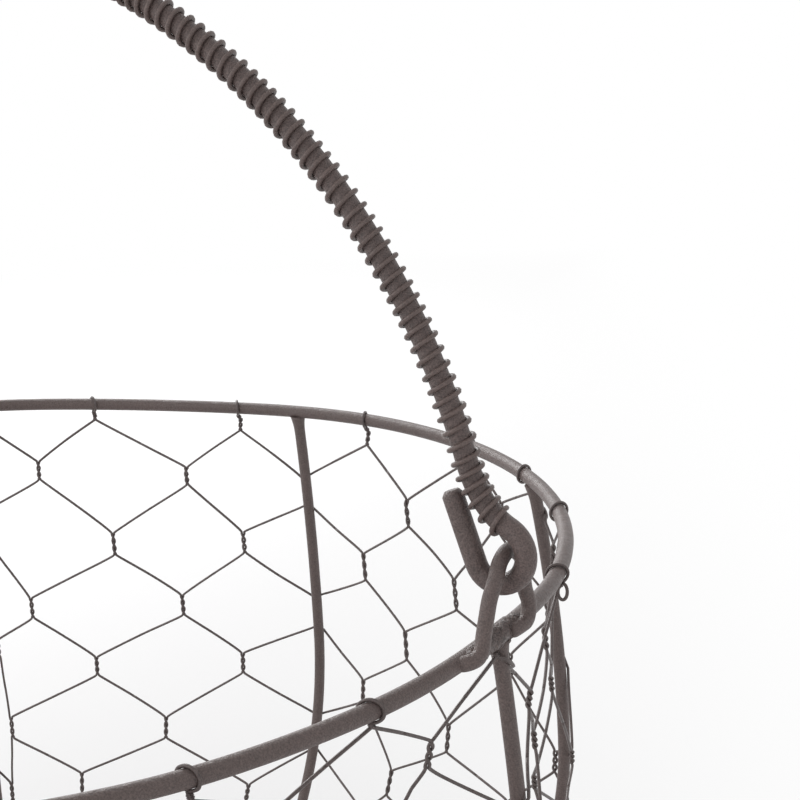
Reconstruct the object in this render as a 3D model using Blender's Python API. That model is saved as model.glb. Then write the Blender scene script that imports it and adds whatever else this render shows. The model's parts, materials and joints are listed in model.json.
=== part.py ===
"""Onion basket: a round open wire basket with hexagonal wire netting and a swinging bail handle.

The origin is the middle of the base on the floor, +Z is up, and the two bail eyes stand at +X and -X.
All lengths are in metres.
"""
import math

import bmesh
import bpy
import numpy as np

# Overall sizes
RIM_RADIUS = 0.150          # centreline of the top hoop
BELLY_BULGE = 0.0050        # the ribs' widest place stands this far outside the top hoop
BASE_RADIUS = 0.118         # rib centreline where it reaches the base hoop
BELLY_DROP = 0.078          # belly below the top hoop
WALL_DEPTH = 0.152          # lower rib end below the top hoop
LOWER_ARC = math.radians(60)   # part of the ellipse that the wall follows below the belly

# Wires
RIM_WIRE = 0.0038
RIB_WIRE = 0.0034
BASE_WIRE = 0.0038
BASE_ROD_WIRE = 0.0034
EYE_WIRE = 0.0033
BAIL_WIRE = 0.0046
COIL_WIRE = 0.0012
NET_WIRE = 0.0008
GAP = 0.0003                # between wires that are welded or rest on each other

# Frame
RIB_COUNT = 8
RIB_STEPS = 18
HOOP_STEPS = 72
HOOP_SIDES = 8

# Eyes that carry the bail
EYE_HALF_WIDTH = 0.0090     # middle of a foot from the eye's middle, along the hoop
EYE_TOP_RADIUS = 0.0071
EYE_TOP_HEIGHT = 0.0189     # top of the eye's centreline above the hoop's centreline
EYE_TILT = 0.0020           # the rounded top leans this far to one side, along the hoop
EYE_TILT_POWER = 3          # the lean grows with this power of the height
EYE_FOOT_DROP = 0.0018      # a foot's end below the hoop's centreline
EYE_LEAN_IN = 0.0011        # the top stands this much further in than the feet
EYE_ARCH_STEPS = 12

# Bail: its hooks bend round the tops of the eyes, and its handle is a half circle over the hoop
BAIL_RADIUS = RIM_RADIUS
BAIL_DROP = 0.0130          # middle of the handle's half circle below the hinge axis
HOOK_INNER_RADIUS = 0.0052  # bend from the tip to the lowest point
HOOK_OUTER_RADIUS = 0.0064  # bend from the lowest point to the handle
HOOK_HANG = 0.0063          # the hook's lowest point below the eye's top
HOOK_INSET = 0.0016         # the hook's lowest point inside the eye's top
HOOK_TIP_LEAN = math.radians(18.4)
HOOK_TIP_LENGTH = 0.0160
BAIL_JOIN_ANGLE = math.radians(11.1)   # where the half circle ends, up from the level
BAIL_JOIN_LENGTH = 0.0110   # the bend between the half circle and the hook reaches this far up
BAIL_JOIN_SHARE = 0.95      # and this share of the way down to the hook
BAIL_ARC_STEPS = 44
HOOK_STEPS = 7              # in each half of the hook's bend

# Coil wound on the bail
COIL_TURNS = 44
COIL_POINTS_PER_TURN = 8
COIL_END_CLEARANCE = 0.0040  # bare rod between the hook's bend and the coil's first turn

# Netting: its ties stand unevenly round the hoop where the photo shows them, up to the tenth,
# and almost evenly from there on, with one in each eye
NET_TIE_TURNS = np.radians([-30.8, -15.8, -1.3, 15.5, 33.7, 47.3, 60.2, 79.0, 98.0, 117.2, 132.9,
                            148.6, 164.3, 180.0, 196.6, 213.2, 229.7, 246.3, 262.9, 279.5, 296.0, 312.6])
NET_COLUMNS = len(NET_TIE_TURNS)
NET_ROWS = 7                # rows of openings between the two hoops, counting the half rows
NET_TWIST = 0.0080          # length of the twisted pairs
NET_TOP_DROP = 0.0016       # ties below the hoop's centreline
NET_TIE_CLEARANCE = 0.0004  # netting to a hoop
NET_RIB_CLEARANCE = 0.0022  # netting to a rib, measured at a corner on the rib

# Bottom
BASE_ROD_TURN = math.radians(22.5)
BASE_ROD_RAISE = 0.0004     # the rods' centrelines above the base hoop's
BASE_NET_CLEARANCE = 0.0006  # netting's border to the rib ends


def clear_scene():
    for old in list(bpy.data.objects):
        bpy.data.objects.remove(old, do_unlink=True)


def painted_wire(name, colour, roughness):
    """Powder-coated steel of one brown grey."""
    material = bpy.data.materials.new(name)
    material.use_nodes = True
    shader = material.node_tree.nodes["Principled BSDF"]
    shader.inputs["Base Color"].default_value = (*colour, 1.0)
    shader.inputs["Roughness"].default_value = roughness
    shader.inputs["Metallic"].default_value = 0.0
    return material


def link(data, name, material):
    part = bpy.data.objects.new(name, data)
    data.materials.append(material)
    bpy.context.scene.collection.objects.link(part)
    return part


def wire(name, points, diameter, material, resolution=2):
    """A round wire along points, with flat ends."""
    curve = bpy.data.curves.new(name, "CURVE")
    curve.dimensions = "3D"
    curve.bevel_depth = diameter / 2
    curve.bevel_resolution = resolution
    curve.use_fill_caps = True
    spline = curve.splines.new("POLY")
    spline.points.add(len(points) - 1)
    for point, place in zip(spline.points, points):
        point.co = (*place, 1.0)
        point.radius = 1.0
    spline.use_smooth = True
    return link(curve, name, material)


def hoop(name, radius, diameter, material):
    """A closed ring of wire whose section has a level facet below and above."""
    mesh = bmesh.new()
    section = []
    for side in range(HOOP_SIDES):
        angle = math.tau * (side + 0.5) / HOOP_SIDES
        across = diameter / 2 * math.cos(angle)
        up = diameter / 2 * math.sin(angle)
        section.append(mesh.verts.new((radius + across, 0.0, up)))
    edges = [mesh.edges.new((section[i - 1], section[i])) for i in range(HOOP_SIDES)]
    bmesh.ops.spin(mesh, geom=section + edges, cent=(0, 0, 0), axis=(0, 0, 1),
                   angle=math.tau, steps=HOOP_STEPS, use_merge=True)
    bmesh.ops.recalc_face_normals(mesh, faces=mesh.faces)
    data = bpy.data.meshes.new(name)
    mesh.to_mesh(data)
    mesh.free()
    data.shade_smooth()
    return link(data, name, material)


# The wall's profile swells as a parabola above the belly and follows an ellipse below it
BELLY_RADIUS = RIM_RADIUS + BELLY_BULGE
ELLIPSE_HEIGHT = (WALL_DEPTH - BELLY_DROP) / math.sin(LOWER_ARC)
ELLIPSE_WIDTH = (BELLY_RADIUS - BASE_RADIUS) / (1 - math.cos(LOWER_ARC))


def wall_profile(steps):
    """Rib centreline points (radius, height above the top hoop's centreline)."""
    upper = np.linspace(1.0, 0.0, steps + 1)[:-1]
    top_radii = BELLY_RADIUS - (BELLY_RADIUS - RIM_RADIUS) * upper ** 2
    top_heights = -BELLY_DROP * (1 - upper)
    turn = np.linspace(0.0, LOWER_ARC, steps + 1)
    low_radii = BELLY_RADIUS - ELLIPSE_WIDTH * (1 - np.cos(turn))
    low_heights = -BELLY_DROP - ELLIPSE_HEIGHT * np.sin(turn)
    return np.column_stack([np.concatenate([top_radii, low_radii]),
                            np.concatenate([top_heights, low_heights])])


def outward(profile):
    """Unit normals of a profile, pointing away from the basket's inside."""
    along = np.gradient(profile, axis=0)
    along /= np.linalg.norm(along, axis=1)[:, None]
    return np.column_stack([-along[:, 1], along[:, 0]])


FINE_STEPS = 200
FINE_PROFILE = wall_profile(FINE_STEPS)
FINE_NORMALS = outward(FINE_PROFILE)
FINE_LENGTHS = np.concatenate([[0.0], np.cumsum(np.linalg.norm(np.diff(FINE_PROFILE, axis=0), axis=1))])
WALL_LENGTH = FINE_LENGTHS[-1]

# The base hoop lies outside the rib ends and is welded to them
BASE_SEAT = (RIB_WIRE + BASE_WIRE) / 2 + GAP
BASE_HOOP_RADIUS = FINE_PROFILE[-1, 0] + BASE_SEAT * FINE_NORMALS[-1, 0]
BASE_HOOP_DROP = -(FINE_PROFILE[-1, 1] + BASE_SEAT * FINE_NORMALS[-1, 1])
BASE_HOOP_HEIGHT = BASE_WIRE / 2 * math.cos(math.pi / HOOP_SIDES)
RIM_HEIGHT = BASE_HOOP_DROP + BASE_HOOP_HEIGHT

# The hinge axis runs through the lowest points of both hooks
EYE_FOOT_RADIUS = RIM_RADIUS + (RIM_WIRE + EYE_WIRE) / 2 + GAP
HOOK_MIDDLE = EYE_FOOT_RADIUS - EYE_LEAN_IN - HOOK_INSET
PIVOT = RIM_HEIGHT + EYE_TOP_HEIGHT - HOOK_HANG


def on_wall(distance, standoff):
    """Radius and height of the point that far along the wall and that far outside the ribs."""
    place = [np.interp(distance, FINE_LENGTHS, FINE_PROFILE[:, axis]) for axis in (0, 1)]
    normal = [np.interp(distance, FINE_LENGTHS, FINE_NORMALS[:, axis]) for axis in (0, 1)]
    return place[0] + standoff * normal[0], RIM_HEIGHT + place[1] + standoff * normal[1]


def add_hoops(material):
    rim = hoop("rim_ring", RIM_RADIUS, RIM_WIRE, material)
    rim.location = (0, 0, RIM_HEIGHT)
    base = hoop("base_ring", BASE_HOOP_RADIUS, BASE_WIRE, material)
    base.location = (0, 0, BASE_HOOP_HEIGHT)


def add_ribs(material):
    """Upright wires, butted under the top hoop and bent inwards to the base hoop's inner side."""
    start = RIM_WIRE / 2 + GAP
    distances = np.linspace(start, WALL_LENGTH, RIB_STEPS)
    outline = [on_wall(distance, 0.0) for distance in distances]
    points = [(radius, 0.0, height) for radius, height in outline]
    for number in range(RIB_COUNT):
        rib = wire(f"rib_{number + 1}", points, RIB_WIRE, material)
        rib.rotation_euler = (0, 0, math.tau * number / RIB_COUNT)


def eye_points():
    """Centreline of one eye: up from one foot, over the rounded top and down to the other."""
    shoulder = EYE_TOP_HEIGHT - EYE_TOP_RADIUS
    flat = [(-EYE_HALF_WIDTH, -EYE_FOOT_DROP), (-EYE_HALF_WIDTH, RIM_WIRE / 2)]
    for step in range(EYE_ARCH_STEPS + 1):
        angle = math.pi * (1 - step / EYE_ARCH_STEPS)
        flat.append((EYE_TOP_RADIUS * math.cos(angle), shoulder + EYE_TOP_RADIUS * math.sin(angle)))
    flat += [(EYE_HALF_WIDTH, RIM_WIRE / 2), (EYE_HALF_WIDTH, -EYE_FOOT_DROP)]
    points = []
    for along, up in flat:
        lean = min(max((up - RIM_WIRE / 2) / (shoulder - RIM_WIRE / 2), 0.0), 1.0)
        tilt = max(up / EYE_TOP_HEIGHT, 0.0) ** EYE_TILT_POWER
        radius = EYE_FOOT_RADIUS - EYE_LEAN_IN * lean
        angle = (along + EYE_TILT * tilt) / EYE_FOOT_RADIUS
        points.append((radius * math.cos(angle), radius * math.sin(angle), RIM_HEIGHT + up))
    return points


def add_eyes(material):
    for name, turn in (("bail_eye_right", 0.0), ("bail_eye_left", math.pi)):
        eye = wire(name, eye_points(), EYE_WIRE, material)
        eye.rotation_euler = (0, 0, turn)


def bail_centreline():
    """Half of the bail from the hook's tip to the middle of the handle, as (out, up) from the axis.

    The hook is two arcs that meet at its lowest point on the hinge axis. The first starts at the
    tip's lean, and the second ends where its tangent runs straight to the end of the handle arc.
    """
    join = arc((0.0, -BAIL_DROP), BAIL_RADIUS, BAIL_JOIN_ANGLE, BAIL_JOIN_ANGLE, 1)[0]
    outer_centre = np.array([HOOK_MIDDLE, HOOK_OUTER_RADIUS])
    reach = join - outer_centre
    leave = math.atan2(reach[1], reach[0]) - math.acos(HOOK_OUTER_RADIUS / np.linalg.norm(reach))
    inner = arc((HOOK_MIDDLE, HOOK_INNER_RADIUS), HOOK_INNER_RADIUS,
                -math.pi + HOOK_TIP_LEAN, -math.pi / 2, HOOK_STEPS)
    outer = arc(outer_centre, HOOK_OUTER_RADIUS, -math.pi / 2, leave, HOOK_STEPS + 1)[1:]
    hook = np.concatenate([inner, outer])
    tip_way = np.array([-math.sin(HOOK_TIP_LEAN), math.cos(HOOK_TIP_LEAN)])
    tip = hook[0] + HOOK_TIP_LENGTH * tip_way
    bend_start = join + BAIL_JOIN_SHARE * (hook[-1] - join)
    past = BAIL_JOIN_ANGLE + BAIL_JOIN_LENGTH / BAIL_RADIUS
    handle = arc((0.0, -BAIL_DROP), BAIL_RADIUS, past, math.pi / 2, BAIL_ARC_STEPS // 2 + 1)
    share = np.linspace(0.0, 1.0, HOOK_STEPS)[:-1, None]
    bend = (1 - share) ** 2 * bend_start + 2 * share * (1 - share) * join + share ** 2 * handle[0]
    return np.concatenate([[tip], hook, bend, handle]), len(hook)


def arc(centre, radius, start, end, count):
    """Points on a circle from one angle to another, as (out, up)."""
    angles = np.linspace(start, end, count)
    return np.asarray(centre) + radius * np.column_stack([np.cos(angles), np.sin(angles)])


def add_bail(material):
    """The bail rod turns about the level axis through the lowest points of its two hooks."""
    half, hook_end = bail_centreline()
    other = half[-2::-1] * (-1, 1)
    whole = np.concatenate([half, other])
    axis = bpy.data.objects.new("bail_axis", None)
    axis.location = (0, 0, PIVOT)
    bpy.context.scene.collection.objects.link(axis)
    rod = wire("bail_rod", [(out, 0.0, up) for out, up in whole], BAIL_WIRE, material)
    rod.parent = axis
    coil = wire("bail_coil", coil_points(whole, hook_end), COIL_WIRE, material, resolution=1)
    coil.parent = axis


def coil_points(path, hook_end):
    """A helix round the rod between the two hooks, with straight ends one wire thick."""
    lengths = np.concatenate([[0.0], np.cumsum(np.linalg.norm(np.diff(path, axis=0), axis=1))])
    start = lengths[hook_end] + COIL_END_CLEARANCE
    count = COIL_TURNS * COIL_POINTS_PER_TURN + 1
    places = np.linspace(start, lengths[-1] - start, count)
    middle = np.column_stack([np.interp(places, lengths, path[:, axis]) for axis in (0, 1)])
    along = np.gradient(middle, axis=0)
    along /= np.linalg.norm(along, axis=1)[:, None]
    side = np.column_stack([-along[:, 1], along[:, 0]])
    turn = math.tau * np.arange(count) / COIL_POINTS_PER_TURN
    radius = (BAIL_WIRE / 2 + GAP + COIL_WIRE / 2) / math.cos(math.pi / COIL_POINTS_PER_TURN)
    across = radius * np.cos(turn)
    out = middle[:, 0] + across * side[:, 0]
    up = middle[:, 1] + across * side[:, 1]
    points = np.column_stack([out, radius * np.sin(turn), up])
    first = points[0] - COIL_WIRE * unit(points[1] - points[0])
    last = points[-1] + COIL_WIRE * unit(points[-1] - points[-2])
    print_least_gap(points)
    return np.concatenate([[first], points, [last]])


def unit(vector):
    return vector / np.linalg.norm(vector)


def print_least_gap(points):
    """Distance between turns of the coil, less the wire, over all pairs half a turn or more apart."""
    apart = np.linalg.norm(points[:, None] - points[None], axis=2)
    order = np.arange(len(points))
    near = abs(order[:, None] - order[None]) < COIL_POINTS_PER_TURN // 2 + 1
    apart[near] = np.inf
    print(f"least gap between turns of bail_coil: {(apart.min() - COIL_WIRE) * 1000:.2f} mm")


def net_rows():
    """Rings of netting corners from the top ties to the bottom ones.

    Each is the radius and height in line with a rib, 1 if its corners stand half a column on,
    and 1 if the netting is stretched flat from rib to rib there or 0 if it is tied to a hoop.
    """
    ring_standoff = RIM_WIRE / 2 + NET_TIE_CLEARANCE + NET_WIRE / 2
    rib_standoff = RIB_WIRE / 2 + NET_RIB_CLEARANCE + NET_WIRE / 2
    pitch = WALL_LENGTH / NET_ROWS
    rows = [(*on_wall(NET_TOP_DROP, ring_standoff), 0, 0)]
    for row in range(1, NET_ROWS):
        for end in (-NET_TWIST / 2, NET_TWIST / 2):
            rows.append((*on_wall(pitch * row + end, rib_standoff), row % 2, 1))
    bottom_standoff = BASE_WIRE / 2 + NET_TIE_CLEARANCE + NET_WIRE / 2
    rows.append((BASE_HOOP_RADIUS + bottom_standoff, BASE_HOOP_HEIGHT, NET_ROWS % 2, 0))
    return rows


NET_RINGS = net_rows()


def column_angle(number, half_on):
    """Turn of a netting corner, which grows past a full turn with its number."""
    rounds, place = divmod(number, NET_COLUMNS)
    angle = NET_TIE_TURNS[place] + math.tau * rounds
    return (angle + column_angle(number + 1, 0)) / 2 if half_on else angle


def net_place(ring, number):
    """A corner of the netting, drawn in between two ribs as netting stretched from rib to rib is."""
    radius, height, half_on, flat = NET_RINGS[ring]
    angle = column_angle(number, half_on)
    between = math.sin(RIB_COUNT * angle / 2) ** 2
    radius *= 1 - flat * between * (1 - math.cos(math.pi / RIB_COUNT))
    return radius * math.cos(angle), radius * math.sin(angle), height


def add_wall_netting(material):
    """Six-sided openings as faces, turned into one lattice of wire."""
    mesh = bmesh.new()
    rings = [[mesh.verts.new(net_place(ring, number)) for number in range(NET_COLUMNS)]
             for ring in range(len(NET_RINGS))]
    for row in range(1, NET_ROWS):
        upper, top, bottom, lower = rings[2 * row - 2:2 * row + 2]
        for number in range(NET_COLUMNS):
            left = number - row % 2
            right = (left + 1) % NET_COLUMNS
            mesh.faces.new((upper[number], top[left], bottom[left],
                            lower[number], bottom[right], top[right]))
    data = bpy.data.meshes.new("wall_netting")
    mesh.to_mesh(data)
    mesh.free()
    netting = link(data, "wall_netting", material)
    as_wire(netting)


def as_wire(part):
    modifier = part.modifiers.new("wire", "WIREFRAME")
    modifier.thickness = NET_WIRE
    modifier.use_even_offset = True
    modifier.use_boundary = True
    modifier.use_replace = True


def add_base_rods(material):
    """One rod across the base hoop and two half rods butted against its sides."""
    outer = BASE_HOOP_RADIUS - BASE_WIRE / 2 - GAP
    inner = BASE_ROD_WIRE / 2 + GAP
    rods = (("base_rod_long", -outer, outer, 0.0),
            ("base_rod_short_1", inner, outer, math.pi / 2),
            ("base_rod_short_2", inner, outer, -math.pi / 2))
    for name, start, end, turn in rods:
        rod = wire(name, [(start, 0.0, 0.0), (end, 0.0, 0.0)], BASE_ROD_WIRE, material)
        rod.location = (0, 0, BASE_HOOP_HEIGHT + BASE_ROD_RAISE)
        rod.rotation_euler = (0, 0, BASE_ROD_TURN + turn)


def held_inside(place, limit):
    """The place itself, or the point on the border circle in the same direction."""
    distance = math.hypot(*place)
    return place if distance <= limit else (place[0] * limit / distance, place[1] * limit / distance)


def add_base_netting(material):
    """Flat openings of the wall's cell over the rods, drawn in to a border circle at the rib ends."""
    height = BASE_HOOP_HEIGHT + BASE_ROD_RAISE + BASE_ROD_WIRE / 2 + GAP + NET_WIRE / 2
    rib_end = BASE_RADIUS - RIB_WIRE / 2 * FINE_NORMALS[-1, 0]
    limit = rib_end - BASE_NET_CLEARANCE - NET_WIRE / 2
    width = math.tau * RIM_RADIUS / NET_COLUMNS
    pitch = WALL_LENGTH / NET_ROWS
    tall = pitch - NET_TWIST / 2
    mesh = bmesh.new()
    corners = {}
    reach = math.ceil(limit / pitch) + 1
    for row in range(-reach, reach + 1):
        for number in range(-reach, reach + 1):
            middle = (width * (number + row % 2 / 2), pitch * row)
            if math.hypot(*middle) > limit:
                continue
            verts = []
            for across, along in ((0, tall), (-width / 2, NET_TWIST / 2), (-width / 2, -NET_TWIST / 2),
                                  (0, -tall), (width / 2, -NET_TWIST / 2), (width / 2, NET_TWIST / 2)):
                place = (middle[0] + across, middle[1] + along)
                key = (round(place[0] / NET_WIRE), round(place[1] / NET_WIRE))
                if key not in corners:
                    corners[key] = mesh.verts.new((*held_inside(place, limit), height))
                verts.append(corners[key])
            mesh.faces.new(verts)
    data = bpy.data.meshes.new("base_netting")
    mesh.to_mesh(data)
    mesh.free()
    netting = link(data, "base_netting", material)
    as_wire(netting)


def build():
    clear_scene()
    frame = painted_wire("frame_coat", (0.125, 0.105, 0.098), 0.62)
    handle = painted_wire("handle_coat", (0.115, 0.095, 0.088), 0.66)
    net = painted_wire("netting_coat", (0.105, 0.092, 0.088), 0.55)
    add_hoops(frame)
    add_ribs(frame)
    add_eyes(frame)
    add_bail(handle)
    add_wall_netting(net)
    add_base_rods(frame)
    add_base_netting(net)


build()
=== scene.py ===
"""Onion basket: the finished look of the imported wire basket. Lengths are in metres and +Z is up."""
import json
import math

import bpy
import mathutils
import numpy as np
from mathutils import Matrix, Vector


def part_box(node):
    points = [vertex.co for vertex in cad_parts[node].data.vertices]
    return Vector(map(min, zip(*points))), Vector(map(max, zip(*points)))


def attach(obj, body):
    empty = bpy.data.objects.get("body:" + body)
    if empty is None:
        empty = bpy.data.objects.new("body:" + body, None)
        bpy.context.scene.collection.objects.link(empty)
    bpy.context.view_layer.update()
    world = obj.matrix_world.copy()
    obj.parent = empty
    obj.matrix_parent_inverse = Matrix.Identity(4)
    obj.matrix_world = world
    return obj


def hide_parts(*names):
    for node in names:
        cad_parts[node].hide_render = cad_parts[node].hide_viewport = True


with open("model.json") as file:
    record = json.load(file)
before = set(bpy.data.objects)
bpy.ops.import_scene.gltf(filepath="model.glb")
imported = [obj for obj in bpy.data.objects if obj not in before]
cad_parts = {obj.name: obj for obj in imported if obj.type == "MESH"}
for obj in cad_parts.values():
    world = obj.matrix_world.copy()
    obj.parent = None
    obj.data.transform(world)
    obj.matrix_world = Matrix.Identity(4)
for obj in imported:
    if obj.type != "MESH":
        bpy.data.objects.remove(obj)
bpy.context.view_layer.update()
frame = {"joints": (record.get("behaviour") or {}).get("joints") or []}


# TOP HOOP
# One 3.8 mm steel wire bent to a ring and butt-welded. The whole basket is powder
# coated in one brown grey after welding, so every piece has a coat like the one below.
HOOP_RADIUS = 0.150
HOOP_WIRE = 0.0038
lowest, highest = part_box("rim_ring")
HOOP_HEIGHT = (lowest[2] + highest[2]) / 2
COAT_BROWN = (0.113, 0.083, 0.077)
CLOUD_SIZE = 0.030          # slow changes of the coat's colour
CLOUD_SHARE = 0.10          # how strong they are
LUMP_GRAINS = 4             # a lump's width in grains
LUMP_HEIGHT_SHARE = 1.4     # a lump's height against a grain's
ROUGHNESS_SPREAD = 0.06
NOISE_RANGE = (0.3, 0.7)    # where nearly all values of a noise lie


def maths(tree, operation, *values):
    """Socket of a new maths node that has the given sockets and numbers on its inputs, in order."""
    node = tree.nodes.new("ShaderNodeMath")
    node.operation = operation
    for socket, value in zip(node.inputs, values):
        if isinstance(value, bpy.types.NodeSocket):
            tree.links.new(value, socket)
        else:
            socket.default_value = value
    return node.outputs["Value"]


def spread(tree, value, given, wanted=(0.0, 1.0), easing="LINEAR"):
    """Socket of a value from the given range carried over to the wanted range, and held at its ends."""
    node = tree.nodes.new("ShaderNodeMapRange")
    node.interpolation_type = easing
    node.inputs["From Min"].default_value, node.inputs["From Max"].default_value = given
    node.inputs["To Min"].default_value, node.inputs["To Max"].default_value = wanted
    tree.links.new(value, node.inputs["Value"])
    return node.outputs["Result"]


def powder_coat(name, colour, roughness, relief, grain=0.00035, speckle=0.40):
    """Matte textured coat.

    Colour is the coat's own times a slow cloud and a speckle one grain across. The grains and
    lumps a few grains across raise the surface by the relief, and the lumps move the roughness.
    """
    material = bpy.data.materials.new(name)
    material.use_nodes = True
    tree = material.node_tree
    shader = tree.nodes["Principled BSDF"]
    place = tree.nodes.new("ShaderNodeTexCoord").outputs["Object"]

    def noise(size, detail, harshness):
        node = tree.nodes.new("ShaderNodeTexNoise")
        node.inputs["Scale"].default_value = 1 / size
        node.inputs["Detail"].default_value = detail
        node.inputs["Roughness"].default_value = harshness
        tree.links.new(place, node.inputs["Vector"])
        return node.outputs["Fac"]

    grains = noise(grain, detail=3.0, harshness=0.6)
    lumps = noise(grain * LUMP_GRAINS, detail=2.0, harshness=0.5)
    cloud = noise(CLOUD_SIZE, detail=3.0, harshness=0.55)
    speckled = spread(tree, grains, NOISE_RANGE, (1 - speckle, 1 + speckle))
    clouded = spread(tree, cloud, NOISE_RANGE, (1 - CLOUD_SHARE, 1 + CLOUD_SHARE))
    tint = tree.nodes.new("ShaderNodeVectorMath")
    tint.operation = "SCALE"
    tint.inputs[0].default_value = colour
    tree.links.new(maths(tree, "MULTIPLY", speckled, clouded), tint.inputs["Scale"])
    tree.links.new(tint.outputs["Vector"], shader.inputs["Base Color"])
    dullness = spread(tree, lumps, NOISE_RANGE, (roughness - ROUGHNESS_SPREAD, roughness + ROUGHNESS_SPREAD))
    tree.links.new(dullness, shader.inputs["Roughness"])
    bump = tree.nodes.new("ShaderNodeBump")
    bump.inputs["Strength"].default_value = 1.0
    bump.inputs["Distance"].default_value = relief
    tree.links.new(maths(tree, "MULTIPLY_ADD", lumps, LUMP_HEIGHT_SHARE, grains), bump.inputs["Height"])
    tree.links.new(bump.outputs["Normal"], shader.inputs["Normal"])
    return material


def tube(path, across, radius, sides, closed=False):
    """Rows of points round one or more paths.

    The path's direction is t. The given direction across, less its part along t, becomes the
    unit a, and b = t x a. Column k of a row is path + radius * (cos u * a + sin u * b), where
    u is 2 pi k / sides. The radius may change by row and by column.
    """
    path = np.asarray(path, float)
    if closed:
        ahead = np.roll(path, -1, axis=-2) - np.roll(path, 1, axis=-2)
    else:
        ahead = np.gradient(path, axis=-2)
    ahead /= np.linalg.norm(ahead, axis=-1, keepdims=True)
    across = np.broadcast_to(across, path.shape)
    first = across - (across * ahead).sum(-1, keepdims=True) * ahead
    first /= np.linalg.norm(first, axis=-1, keepdims=True)
    second = np.cross(ahead, first)
    turn = math.tau * np.arange(sides)[:, None] / sides
    ring = np.cos(turn) * first[..., None, :] + np.sin(turn) * second[..., None, :]
    radius = np.broadcast_to(radius, path.shape[:-1] + (sides,))[..., None]
    return path[..., None, :] + radius * ring


# Where the hoop stands out of level: degrees round, metres up and degrees wide.
HOOP_WAVES = ((138, 0.0026, 18), (101, -0.0007, 16), (2, 0.0013, 10.5), (-32, -0.0005, 9))
WAVE_KEEPS_BELOW = 0.002    # how far below the hoop's middle the waves are whole
WAVE_KEEPS_ABOVE = 0.005    # and how far above it
WAVE_FADE_BELOW = 0.018     # height over which they then fade, down the wall
WAVE_FADE_ABOVE = 0.012     # and up the eyes' legs


def sprung(points):
    """The same points with the hoop out of level by one bell of height for each wave. The waves are
    whole near the hoop's middle, and fade down the wall below it and up the eyes' legs above it."""
    turn = np.degrees(np.arctan2(points[..., 1], points[..., 0]))
    rise = sum(up * np.exp(-((turn - middle) / wide) ** 2) for middle, up, wide in HOOP_WAVES)
    above = points[..., 2] - HOOP_HEIGHT
    down_wall = np.clip(1 + (above + WAVE_KEEPS_BELOW) / WAVE_FADE_BELOW, 0, 1)
    up_legs = np.clip(1 - (above - WAVE_KEEPS_ABOVE) / WAVE_FADE_ABOVE, 0, 1)
    return points + (rise * down_wall * up_legs)[..., None] * (0, 0, 1)


def add_piece(name, grids, material, body, closed=False):
    """One mesh over grids of points (wires, rows, columns): a quad between neighbouring rows and
    columns, which joins round the columns, and a flat face over each open end."""
    grids = [sprung(grid) for grid in grids] if body == "basket" else grids
    points, quads, ends = [], [], []
    count = 0
    for grid in grids:
        wires, rows, sides, _ = grid.shape
        index = count + np.arange(wires * rows * sides).reshape(wires, rows, sides)
        beside = np.roll(index, -1, axis=2)
        last = None if closed else -1
        above, above_beside = [np.roll(part, -1, axis=1)[:, :last] for part in (index, beside)]
        corners = [index[:, :last], beside[:, :last], above_beside, above]
        quads.append(np.stack(corners, axis=-1).reshape(-1, 4))
        if not closed:
            ends += index[:, 0, ::-1].tolist() + index[:, -1].tolist()
        points.append(grid.reshape(-1, 3))
        count += wires * rows * sides
    faces = np.concatenate(quads).tolist() + ends
    mesh = bpy.data.meshes.new(name)
    mesh.from_pydata(np.concatenate(points).tolist(), [], faces)
    mesh.polygons.foreach_set("use_smooth", np.arange(len(faces)) < len(faces) - len(ends))
    mesh.materials.append(material)
    mesh.update()
    piece = bpy.data.objects.new(name, mesh)
    bpy.context.scene.collection.objects.link(piece)
    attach(piece, body)
    return piece


def circle(radius, height, count):
    """Points of a level circle: (r cos u, r sin u, h)."""
    turn = math.tau * np.arange(count) / count
    return np.column_stack([radius * np.cos(turn), radius * np.sin(turn), np.full(count, height)])


frame_coat = powder_coat("frame_coat_look", COAT_BROWN, roughness=0.44, relief=0.00014)
ring = tube(circle(HOOP_RADIUS, HOOP_HEIGHT, count=480), (0, 0, 1), HOOP_WIRE / 2, sides=24, closed=True)
hoop = add_piece("top_hoop", [ring[None]], frame_coat, "basket", closed=True)
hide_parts("rim_ring")


# RIBS
# Eight upright 3.4 mm wires, cut square and butt-welded under the hoop. They swell
# outwards to a belly and turn in to the bottom hoop. A weld flares each upper end.
RIB_WIRE = 0.0034
RIB_COUNT = 8
RIB_TOP_DOWN = 0.0012               # ribs' ends below the hoop's centreline
BELLY_RADIUS = 0.155
BELLY_DROP = 0.078
WALL_DEPTH = 0.152
BASE_RADIUS = 0.118                 # ribs' lower ends from the basket's middle
LOWER_ARC = math.radians(60)
RIB_FLARE = 0.00080                 # what the weld adds to a rib's radius
RIB_FLARE_LENGTH = 0.0034
BULGE = 0.0016                      # one rib stands out more than the others
BULGE_TURN = math.radians(45)
BULGE_SPREAD = 0.22                 # radians round, over which it falls to about a third
BULGE_LENGTH = 0.145
RIB_LEANS = {1: 0.0005, 3: -0.0010}  # how far two tops lean along the hoop, by the rib's number
LEAN_LENGTH = 0.09


def lengths(line):
    """How far along a line each of its points lies."""
    return np.concatenate([[0.0], np.cumsum(np.linalg.norm(np.diff(line, axis=0), axis=1))])


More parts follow.
